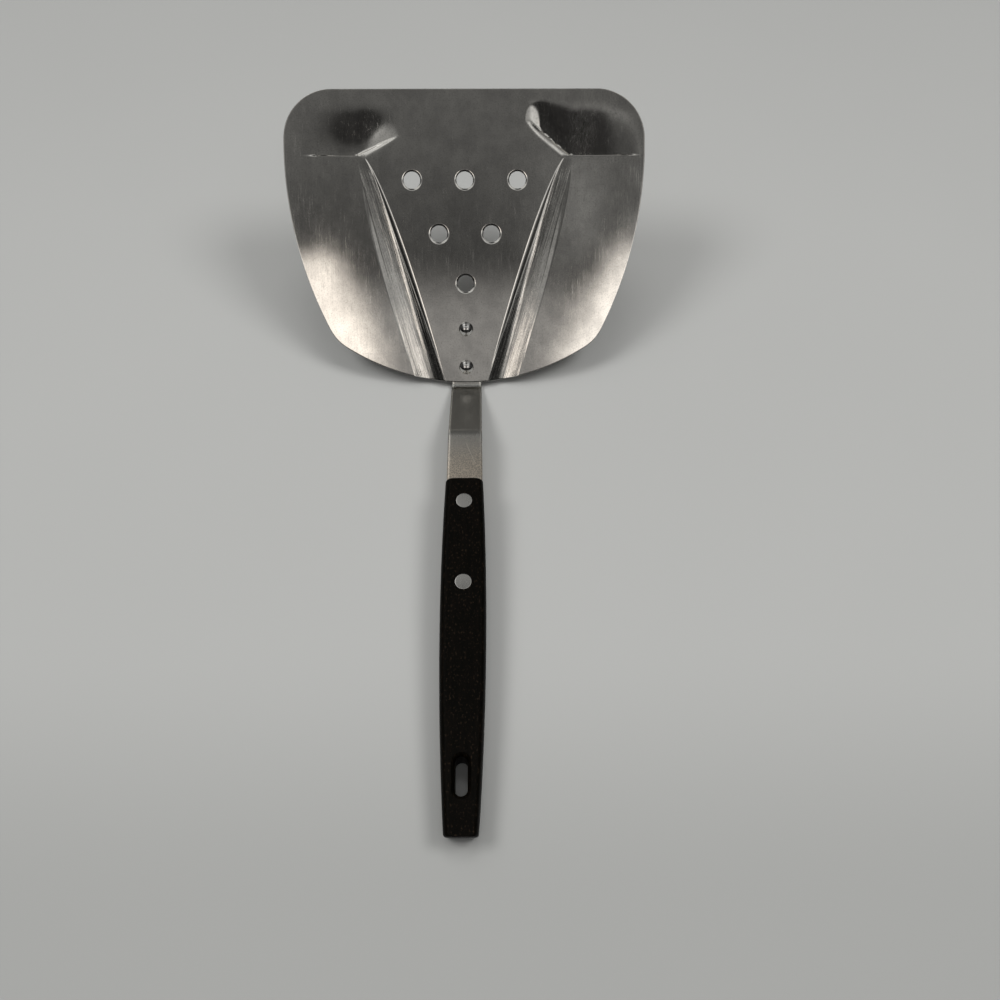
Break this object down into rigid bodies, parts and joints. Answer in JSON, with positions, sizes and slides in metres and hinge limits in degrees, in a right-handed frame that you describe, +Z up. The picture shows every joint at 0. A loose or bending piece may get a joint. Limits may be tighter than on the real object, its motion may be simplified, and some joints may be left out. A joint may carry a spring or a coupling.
{
  "type": "perforated turner",
  "caption": "Wide fan-shaped steel turner blade with drain holes and two pressed flutes, riveted to a cranked shank in a slotted dark handle with a hanging slot.",
  "frame": {"origin": "on the table under the middle of the turner, on its centre line, in the pose of the picture: the turner lies on its heel bend and on the lower edge of its butt", "axes": "+Y from the handle's butt to the blade's front edge, +Z up, +X to the right seen from above"},
  "size_m": [0.158, 0.2982, 0.088],
  "materials": {
    "blade_steel": "fine lengthwise brushing, worn bright",
    "shank_steel": "satin",
    "rivet_steel": "satin",
    "handle_resin": "worn satin, slightly speckled"
  },
  "bodies": {
    "root": {"blade": "blade_steel", "blade_rivet_front": "rivet_steel", "blade_rivet_rear": "rivet_steel", "shank": "shank_steel", "handle": "handle_resin", "handle_pin_front": "rivet_steel", "handle_sleeve_front": "rivet_steel", "handle_pin_rear": "rivet_steel", "handle_sleeve_rear": "rivet_steel"}
  },
  "joints": []
}
